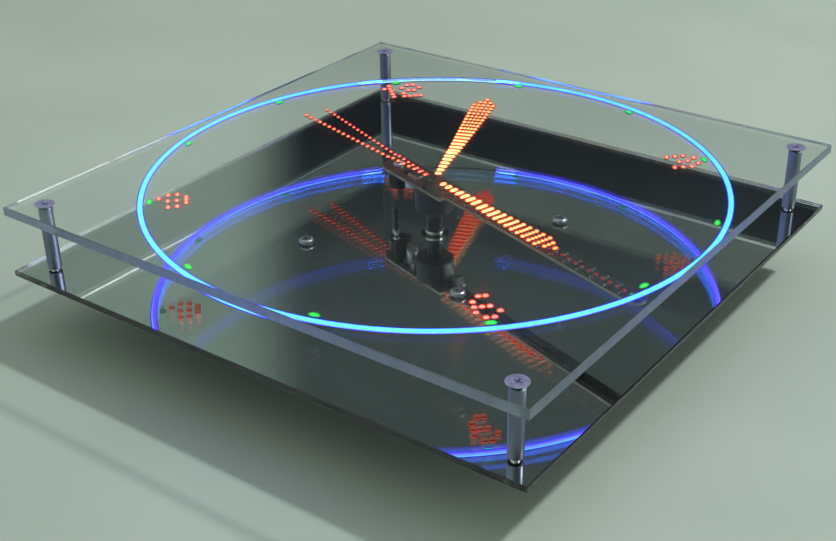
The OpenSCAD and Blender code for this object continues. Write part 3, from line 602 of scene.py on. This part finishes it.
# The ring: its light by material slot, then the slots of its upper, lower and outer side
RING_STEPS = 240
RING_SIDES = 12
OUTER_SIDES = 2
RING_HALF_W = 1.2 * MM
RING_H = 1.15 * CORE_H
RING_GLOW_HALF_W = 1.8 * MM
RING_GLOW = (0.03, 0.01, 0.80)
RING_GLOW_ALPHA = 0.55
RING_HIDDEN = (0.020, 0.022, 0.026)
RING_LIGHT = (
    ("ring_core", (0.54, 2.9, 20.0)), ("ring_under", (0.50, 0.31, 6.5)), ("ring_outer", (0.58, 1.2, 14.0)),
    ("ring_back", (0.85, 1.75, 2.3)), ("ring_hidden", RING_HIDDEN),
)
CORE_SHOWN, CORE_HIDDEN = (0, 1, 2), (3, 4, 2)
GLOW_SHOWN, GLOW_HIDDEN = (0, 0, 0), (0, 1, 0)

# The other marks' light
Light = namedtuple("Light", "core glow beneath inner_core inner_glow", defaults=(None, None))
DOT_LIGHT = Light((0.25, 3.5, 0.40), (0.02, 0.8, 0.08), (0.08, 0.16, 0.09))
DOT_SIZE = 0.95
DOT_LENGTH = 1.7
NUMERAL_LIGHT = Light((5.2, 2.4, 1.9), (1.4, 0.03, 0.012), (0.36, 0.10, 0.075))
HAND_GLOW = (1.5, 0.05, 0.012)
WIDE_LIGHT = Light((5.6, 3.3, 1.2), HAND_GLOW, (0.65, 0.0585, 0.039), (8.0, 6.2, 2.6), (1.8, 0.22, 0.03))
SECOND_LIGHT = Light((5.0, 2.5, 1.7), HAND_GLOW, (0.12, 0.036, 0.0204))
NEXT_SECOND_LIGHT = SECOND_LIGHT._replace(beneath=(0.09, 0.027, 0.0153))
SECOND_SIZE = 0.75
NEXT_SECOND_SIZE = 0.6

# What the dial shows, in degrees clockwise from twelve. Each numeral is shifted a little from its hour mark
TWELVE_GLYPH = (".#..##.", "##.#..#", ".#..##.", ".#.#...", ".#.####")
THREE_GLYPH = ("###.", "...#", ".##.", "...#", "###.")
SIX_GLYPH = (".##.", "#...", "###.", "#..#", ".##.")
NINE_GLYPH = (".##.", "#..#", ".###", "...#", ".##.")
NUMERALS = ((0, TWELVE_GLYPH, 1.0), (90, THREE_GLYPH, 0.0), (180, SIX_GLYPH, -0.3), (270, NINE_GLYPH, -0.3))
HOUR_STEP = 30.0
HOUR_DEGREES = 153.1
MINUTE_DEGREES = 24.8
SECOND_DEGREES = 330.4
NEXT_SECOND_DEGREES = 337.2
HAND_COLUMNS = 5
HAND_TIP = [3, 1]
HOUR_ROWS = 20
MINUTE_ROWS = 25
SECOND_ROWS = 25


def dial_point(radius, degrees, height):
    """Point of the dial, with degrees clockwise from twelve."""
    turn = TWELVE - math.radians(degrees)
    return Vector((radius * math.cos(turn), radius * math.sin(turn), height))


def light_look(name, colour, alpha=1.0, inner=None):
    """Light as a body that flickers slightly from flash to flash."""
    look = Look(name, Roughness=1.0, IOR=1.0, Alpha=alpha, Emission_Strength=1.0)
    look.set("Base Color", grey(0))
    flicker = look.spread(look.noise(FLICKER_SIZE, 2.0), 0.35, 0.65)
    dim = tuple(FLICKER_DIM * part for part in colour)
    emission = look.mix(flicker, (*dim, 1), (*colour, 1))
    if inner:
        flat = look.add("Mapping", {"Vector": look.place, "Scale": (1, 1, 0)}).outputs[0]
        radius = look.add("VectorMath", {0: flat}, operation="LENGTH").outputs["Value"]
        emission = look.mix(look.spread(radius, INNER_FROM, INNER_TO), (*inner, 1), emission)
    look.set("Emission Color", emission)
    return look.material


def cross_section(bm, centre, out, half_width, half_height, sides, hidden=False):
    """One loop round a body of light, cut to its upper face where the bar hides it from below."""
    verts = []
    for side in range(sides):
        turn = 2 * math.pi * side / sides
        away, rise = half_width * math.cos(turn), half_height * math.sin(turn)
        if hidden:
            depth = rise * math.sin(HIDDEN_TILT) - away * math.cos(HIDDEN_TILT)
            cut = depth if depth > 0 else HIDDEN_UNDERCUT * depth
            away = HIDDEN_SCALE * (away + cut * math.cos(HIDDEN_TILT))
            rise = HIDDEN_SCALE * (rise - cut * math.sin(HIDDEN_TILT))
        verts.append(bm.verts.new(centre + out * away + Vector((0, 0, rise))))
    return verts


def side_rise(side, sides):
    """How far a side of a cross-section looks up, from -1 to 1."""
    return math.sin(2 * math.pi * (side + 0.5) / sides)


def stroke_slot(side, rim_slot):
    """Material slot of a side of a stroke: 1 where it looks down, then its rim's, and 0 above."""
    rise = side_rise(side, STROKE_SIDES)
    if rise < LOWER_BELOW:
        return 1
    return rim_slot if rise < RIM_BELOW else 0


def ring_slot(side, upper, lower, outer):
    """Material slot of a side of the ring, whose last sides face outwards."""
    if side >= RING_SIDES - OUTER_SIDES:
        return outer
    return lower if side_rise(side, RING_SIDES) < RIM_BELOW else upper


def bridge(bm, first, second, slots, smooth=True):
    """Faces between two loops, with a material slot for each side."""
    sides = len(first)
    for side in range(sides):
        after = (side + 1) % sides
        face = bm.faces.new((first[side], first[after], second[after], second[side]))
        face.smooth = smooth
        face.material_index = slots[side]


def close(bm, tip, loop, slots, flip):
    """Faces from the last loop to a point."""
    sides = len(loop)
    for side in range(sides):
        after = (side + 1) % sides
        corners = (tip, loop[after], loop[side]) if flip else (tip, loop[side], loop[after])
        face = bm.faces.new(corners)
        face.smooth = True
        face.material_index = slots[side]


def stroke(bm, radius, degrees, columns, shape):
    """A row of flashes that run together along the arc of one lamp."""
    reach = math.degrees(shape.half_length / radius)
    half_sweep = (columns - 1) / 2 * FLASH_STEP
    pitch = radius * math.radians(FLASH_STEP)
    waist = shape.neck * min(max((pitch - NECK_FROM) / (NECK_TO - NECK_FROM), 0.0), 1.0)
    half_width = shape.half_width * (1 + PLUMP * max(1 - radius / PLUMP_REACH, 0.0))
    height, half_height = LIGHT_Z, shape.half_height
    if radius < TALL_REACH:
        height, half_height = INNER_Z, min(half_height, INNER_H)
    steps = FLASH_LOOPS * columns + TIP_LOOPS
    loops = []
    for step in range(1, steps):
        offset = (half_sweep + reach) * math.sin(math.pi * (step / steps - 0.5))
        beyond = max(abs(offset) - half_sweep, 0.0) / reach
        scale = max(1 - beyond ** 2, TIP_SCALE) ** 0.5
        if beyond == 0:
            phase = (offset + half_sweep) / FLASH_STEP
            scale *= 1 - waist * math.sin(math.pi * phase) ** 2
        centre = dial_point(radius, degrees + offset, height)
        out = dial_point(1.0, degrees + offset, 0.0)
        loops.append(cross_section(bm, centre, out, half_width * scale, half_height * scale, STROKE_SIDES))
    slots = [stroke_slot(side, shape.rim_slot) for side in range(STROKE_SIDES)]
    for first, second in zip(loops, loops[1:]):
        bridge(bm, first, second, slots)
    for way, loop in ((-1, loops[0]), (1, loops[-1])):
        tip = bm.verts.new(dial_point(radius, degrees + way * (half_sweep + reach), height))
        close(bm, tip, loop, slots, way < 0)


def full_ring(bm, half_width, half_height, shown, hidden_by_bar, hidden_half):
    """A closed ring of light, with slots of its own within hidden_half degrees of where the bar hides it."""
    degrees = [360 * step / RING_STEPS for step in range(RING_STEPS)]
    hidden = [abs((turn - HIDDEN_AT + 180) % 360 - 180) <= hidden_half for turn in degrees]
    loops = []
    for turn, unseen in zip(degrees, hidden):
        centre, out = dial_point(RING_R, turn, LIGHT_Z), dial_point(1.0, turn, 0.0)
        loops.append(cross_section(bm, centre, out, half_width, half_height, RING_SIDES, unseen))
    for step in range(RING_STEPS):
        after = (step + 1) % RING_STEPS
        sides = hidden_by_bar if hidden[step] and hidden[after] else shown
        bridge(bm, loops[step], loops[after], [ring_slot(side, *sides) for side in range(RING_SIDES)])


def new_piece(name, materials, draw):
    """A piece that rides on the frame, with the mesh that draw(bm) makes."""
    bm = bmesh.new()
    draw(bm)
    bmesh.ops.recalc_face_normals(bm, faces=bm.faces)
    mesh = bpy.data.meshes.new(name)
    bm.to_mesh(mesh)
    bm.free()
    for material in materials:
        mesh.materials.append(material)
    piece = bpy.data.objects.new(name, mesh)
    bpy.context.collection.objects.link(piece)
    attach(piece, "frame")
    return piece


def light_piece(name, materials, draw):
    """A piece of the dial. Drawn light stands still while the bar turns, and casts no shadow."""
    new_piece(name, materials, draw).visible_shadow = False


def lamp_row(row):
    """Radius of a red lamp, counted from the centre."""
    return DOT_R - (RED_LAMPS - row) * LAMP_PITCH


def wide_hand(degrees, rows):
    """Radius, angle and width of each row of a hand, which narrows to one flash at its tip."""
    widths = [HAND_COLUMNS] * (rows - len(HAND_TIP)) + HAND_TIP
    return [(lamp_row(row), degrees, widths[row]) for row in range(rows)]


def thin_hand(degrees):
    """A seconds hand: a line of single flashes."""
    return [(lamp_row(row), degrees, 1) for row in range(SECOND_ROWS)]


def numeral_strokes(hour_degrees, glyph, shift):
    """A numeral that stands upright beside its hour mark, one flash for each dot of its glyph."""
    sine = round(math.sin(math.radians(hour_degrees)))
    cosine = round(math.cos(math.radians(hour_degrees)))
    wide = len(glyph[0]) - 1
    tall = len(glyph) - 1
    outermost = lamp_row(RED_LAMPS - 1)
    centre_r = outermost - (wide * abs(sine) + tall * abs(cosine)) / 2 * LAMP_PITCH
    strokes = []
    for down, line in enumerate(glyph):
        for along, dot in enumerate(line):
            if dot != "#":
                continue
            right = along - wide / 2
            up = tall / 2 - down
            radius = centre_r + (right * sine + up * cosine) * LAMP_PITCH
            degrees = hour_degrees + shift + (right * cosine - up * sine) * FLASH_STEP
            strokes.append((radius, degrees, 1))
    return strokes


def draw_strokes(strokes, shape):
    """A function that draws these strokes."""
    def draw(bm):
        for radius, degrees, columns in strokes:
            stroke(bm, radius, degrees, columns, shape)
    return draw


def lit_strokes(name, strokes, light, size=1.0, length=1.0):
    """Strokes as bright cores inside a clear glow, much dimmer on the side away from the lamps' aim."""
    half_length = DOT_HALF * size * length
    core = Shape(CORE_HALF_W * size, CORE_H * size, half_length, CORE_WAIST, rim_slot=1)
    core_looks = (light_look(name + "_core", light.core, inner=light.inner_core),
                  light_look(name + "_under", light.beneath))
    light_piece(name, core_looks, draw_strokes(strokes, core))
    glow = Shape(GLOW_HALF_W * size, GLOW_H, GLOW_LENGTH * half_length, GLOW_WAIST, rim_slot=2)
    rim = tuple(RIM_DIM * part for part in light.beneath)
    glow_looks = (light_look(name + "_glow", light.glow, GLOW_ALPHA, light.inner_glow),
                  light_look(name + "_under_glow", light.beneath), light_look(name + "_under_rim", rim))
    light_piece(name + "_glow", glow_looks, draw_strokes(strokes, glow))


def build_dial():
    """Ring, hour dots, numerals and hands, as the eye sees them while the bar spins."""
    core = [light_look(name, colour) for name, colour in RING_LIGHT]
    light_piece("display_ring", core,
                lambda bm: full_ring(bm, RING_HALF_W, RING_H, CORE_SHOWN, CORE_HIDDEN, HIDDEN_CORE))
    glow = (light_look("ring_glow", RING_GLOW, RING_GLOW_ALPHA), light_look("ring_glow_hidden", RING_HIDDEN))
    light_piece("display_ring_glow", glow,
                lambda bm: full_ring(bm, RING_GLOW_HALF_W, GLOW_H, GLOW_SHOWN, GLOW_HIDDEN, HIDDEN_GLOW))
    dots = [(DOT_R, HOUR_STEP * hour, 1) for hour in range(12)]
    lit_strokes("display_hour_dots", dots, DOT_LIGHT, DOT_SIZE, DOT_LENGTH)
    numerals = [dot for numeral in NUMERALS for dot in numeral_strokes(*numeral)]
    lit_strokes("display_numerals", numerals, NUMERAL_LIGHT)
    lit_strokes("display_hour_hand", wide_hand(HOUR_DEGREES, HOUR_ROWS), WIDE_LIGHT)
    lit_strokes("display_minute_hand", wide_hand(MINUTE_DEGREES, MINUTE_ROWS), WIDE_LIGHT)
    lit_strokes("display_second_hand", thin_hand(SECOND_DEGREES), SECOND_LIGHT, SECOND_SIZE)
    lit_strokes("display_next_second", thin_hand(NEXT_SECOND_DEGREES),
                NEXT_SECOND_LIGHT, NEXT_SECOND_SIZE)


# The mirror film on the back of the base plate

FILM_LIFT = 0.02 * MM
FILM_T = 0.04 * MM
FILM_INSET = 0.1 * MM
FILM_STEPS = 64


def film_loop(bm, height, reach_of):
    """A loop of points round the spindle, as far out as reach_of says for each direction."""
    loop = []
    for step in range(FILM_STEPS):
        turn = 2 * math.pi * step / FILM_STEPS
        x, y = math.cos(turn), math.sin(turn)
        reach = reach_of(x, y)
        loop.append(bm.verts.new((x * reach, y * reach, height)))
    return loop


def draw_film(bm):
    """A thin square film with a round hole for the bush, just inside the plate's underside."""
    low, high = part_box("base_plate")
    half = high.x - FILM_INSET
    bush_low, bush_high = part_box("spindle_bush")
    hole_r = (bush_high.x - bush_low.x) / 2
    around = []
    for height in (low.z + FILM_LIFT, low.z + FILM_LIFT + FILM_T):
        square = film_loop(bm, height, lambda x, y: half / max(abs(x), abs(y)))
        hole = film_loop(bm, height, lambda x, y: hole_r)
        around.append((square, hole))
    (lower_out, lower_in), (upper_out, upper_in) = around
    section = (lower_out, lower_in, upper_in, upper_out, lower_out)
    for first, second in zip(section, section[1:]):
        bridge(bm, first, second, [0] * FILM_STEPS, smooth=False)


def build_film():
    """The silvering that makes the base plate a mirror."""
    new_piece("base_silvering", (silvering("base_silvering"),), draw_film)


# Floor, light and camera

def build_floor():
    """A wide pale table top with a faint mottle."""
    look = Look("floor", Roughness=0.55)
    look.tint(look.noise(FLOOR_MOTTLE, 5.0), FLOOR_DEEP, FLOOR_PALE)
    look.bump(look.noise(2 * MM, 3.0), 0.02 * MM)
    bm = bmesh.new()
    bmesh.ops.create_grid(bm, x_segments=1, y_segments=1, size=FLOOR_SIDE / 2)
    mesh = bpy.data.meshes.new("floor")
    bm.to_mesh(mesh)
    bm.free()
    mesh.materials.append(look.material)
    floor = bpy.data.objects.new("floor", mesh)
    floor.location.z = cad_box[0].z
    bpy.context.collection.objects.link(floor)


def build_light():
    """One soft key lamp from the right and behind, in a room that is brighter on the left and above."""
    lamp = bpy.data.lights.new("key", "AREA")
    lamp.shape = "DISK"
    lamp.size = KEY_SIZE
    lamp.energy = KEY_POWER
    key = bpy.data.objects.new("key", lamp)
    key.location = KEY_FROM * KEY_DISTANCE
    key.rotation_euler = KEY_FROM.to_track_quat("Z", "Y").to_euler()
    bpy.context.collection.objects.link(key)

    world = bpy.data.worlds.new("room")
    bpy.context.scene.world = world
    world.use_nodes = True
    room = Graph(world.node_tree)
    way = room.add("TexCoord").outputs["Generated"]
    left = (-math.cos(CAMERA_TURN), -math.sin(CAMERA_TURN), 0)
    leftness = room.add("VectorMath", {0: way, 1: left}, operation="DOT_PRODUCT").outputs["Value"]
    height = room.add("SeparateXYZ", {0: way}).outputs["Z"]
    walls = room.mix(room.spread(height, *HIGH_WALL), ROOM_LOW, ROOM_HIGH)
    walls = room.mix(room.spread(leftness, *BRIGHT_WALL), walls, ROOM_BRIGHT)
    walls = room.mix(room.spread(leftness, *LEFT_WALL), walls, ROOM_LEFT)
    lit = room.mix(room.spread(height, *CEILING_EDGE), walls, CEILING)
    flat = math.cos(WINDOW_RISE)
    towards = (math.cos(WINDOW_TURN) * flat, math.sin(WINDOW_TURN) * flat, math.sin(WINDOW_RISE))
    facing = room.add("VectorMath", {0: way, 1: towards}, operation="DOT_PRODUCT").outputs["Value"]
    lit = room.mix(room.spread(facing, *WINDOW_EDGE), lit, WINDOW)
    seen = room.add("LightPath").outputs["Is Camera Ray"]
    room.feed(room.nodes["Background"].inputs["Color"], room.mix(seen, lit, BACKDROP))


def build_camera():
    """The camera stands where the photograph was taken from."""
    deck = Vector((0, 0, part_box("base_plate")[1].z))
    right = Vector((math.cos(CAMERA_TURN), math.sin(CAMERA_TURN), 0))
    flat = math.cos(CAMERA_RISE)
    back = Vector((math.sin(CAMERA_TURN) * flat, -math.cos(CAMERA_TURN) * flat, math.sin(CAMERA_RISE)))
    upright = Matrix((right, back.cross(right), back)).transposed().to_4x4()
    lens_data = bpy.data.cameras.new("camera")
    lens_data.sensor_fit = "HORIZONTAL"
    lens_data.sensor_width = SENSOR_W
    lens_data.lens = FOCAL_PX / IMAGE_W * SENSOR_W
    camera = bpy.data.objects.new("camera", lens_data)
    place = Matrix.Translation(deck + CAMERA_FROM_DECK)
    camera.matrix_world = place @ upright @ Matrix.Rotation(CAMERA_ROLL, 4, "Z")
    bpy.context.collection.objects.link(camera)
    bpy.context.scene.camera = camera


finish_parts()
build_dial()
build_film()
build_floor()
build_light()
build_camera()
bpy.context.scene.view_settings.view_transform = "Standard"
